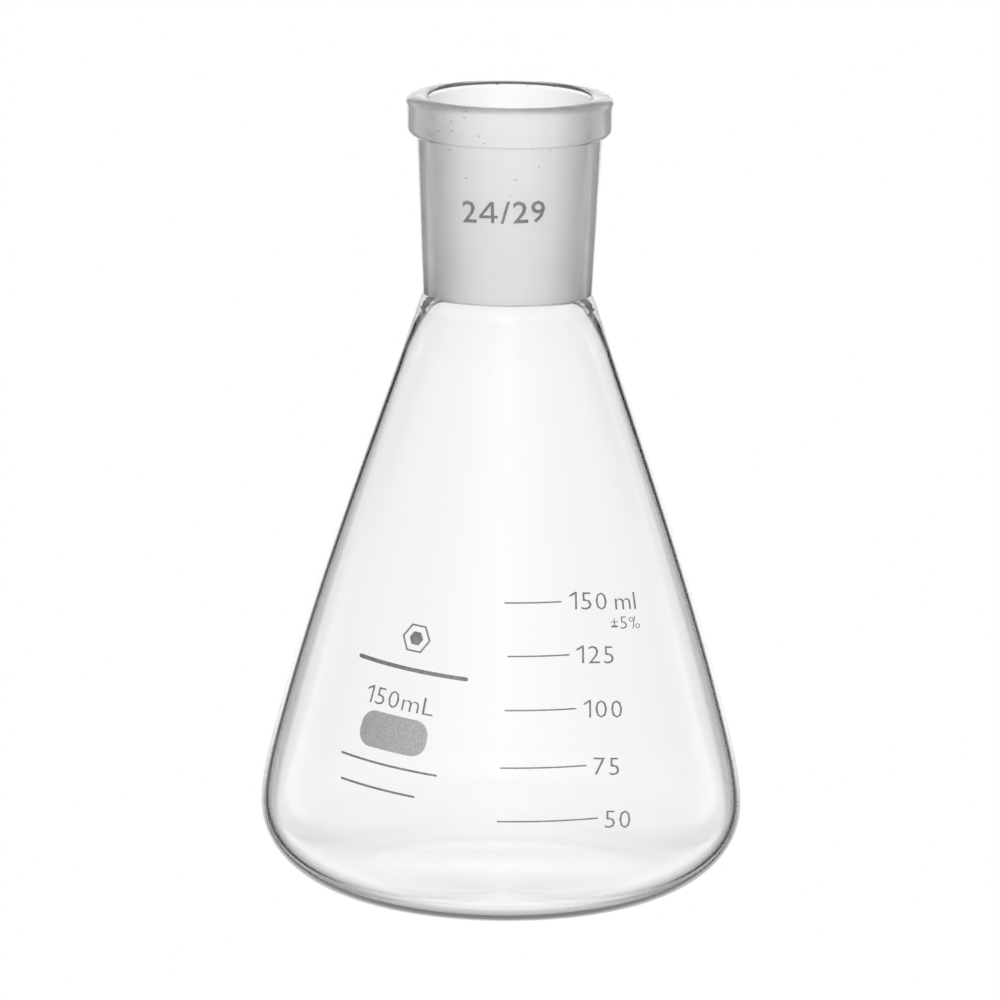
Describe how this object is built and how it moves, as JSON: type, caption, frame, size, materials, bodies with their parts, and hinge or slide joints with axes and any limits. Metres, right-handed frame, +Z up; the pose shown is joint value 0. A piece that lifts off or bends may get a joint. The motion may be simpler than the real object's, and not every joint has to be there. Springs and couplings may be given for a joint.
{
  "type": "conical laboratory flask",
  "caption": "Conical borosilicate glass flask with a beaded ground-glass socket neck, a rounded heel, and fired enamel capacity lines, numbers and a writing spot.",
  "frame": {"origin": "centre of the plane the flask stands on, on its axis", "axes": "+Z up along the flask's axis, -Y towards the graduated side, +X to the right of someone reading the scale"},
  "size_m": [0.071, 0.071, 0.1188],
  "materials": {
    "clear_glass": "clear, fire-polished",
    "ground_glass": "clear outside and on the bead, finely ground inside the bore",
    "grey_enamel": "fired-on enamel, satin"
  },
  "bodies": {
    "root": {"capacity_char_1": "grey_enamel", "capacity_char_2": "grey_enamel", "capacity_char_3": "grey_enamel", "capacity_char_4": "grey_enamel", "capacity_char_5": "grey_enamel", "emblem_middle": "grey_enamel", "emblem_ring": "grey_enamel", "flask_body": "clear_glass", "ground_socket": "ground_glass", "joint_size_char_1": "grey_enamel", "joint_size_char_2": "grey_enamel", "joint_size_char_3": "grey_enamel", "joint_size_char_4": "grey_enamel", "joint_size_char_5": "grey_enamel", "label_bar_lower": "grey_enamel", "label_bar_middle": "grey_enamel", "label_bar_upper": "grey_enamel", "line_100": "grey_enamel", "line_125": "grey_enamel", "line_150": "grey_enamel", "line_50": "grey_enamel", "line_75": "grey_enamel", "scale_100_char_1": "grey_enamel", "scale_100_char_2": "grey_enamel", "scale_100_char_3": "grey_enamel", "scale_125_char_1": "grey_enamel", "scale_125_char_2": "grey_enamel", "scale_125_char_3": "grey_enamel", "scale_150_char_1": "grey_enamel", "scale_150_char_2": "grey_enamel", "scale_150_char_3": "grey_enamel", "scale_150_char_4": "grey_enamel", "scale_150_char_5": "grey_enamel", "scale_50_char_1": "grey_enamel", "scale_50_char_2": "grey_enamel", "scale_75_char_1": "grey_enamel", "scale_75_char_2": "grey_enamel", "tolerance_char_1": "grey_enamel", "tolerance_char_2": "grey_enamel", "tolerance_char_3": "grey_enamel", "tolerance_char_4": "grey_enamel", "tolerance_char_5": "grey_enamel", "tolerance_char_6": "grey_enamel", "writing_spot": "grey_enamel"}
  },
  "joints": []
}
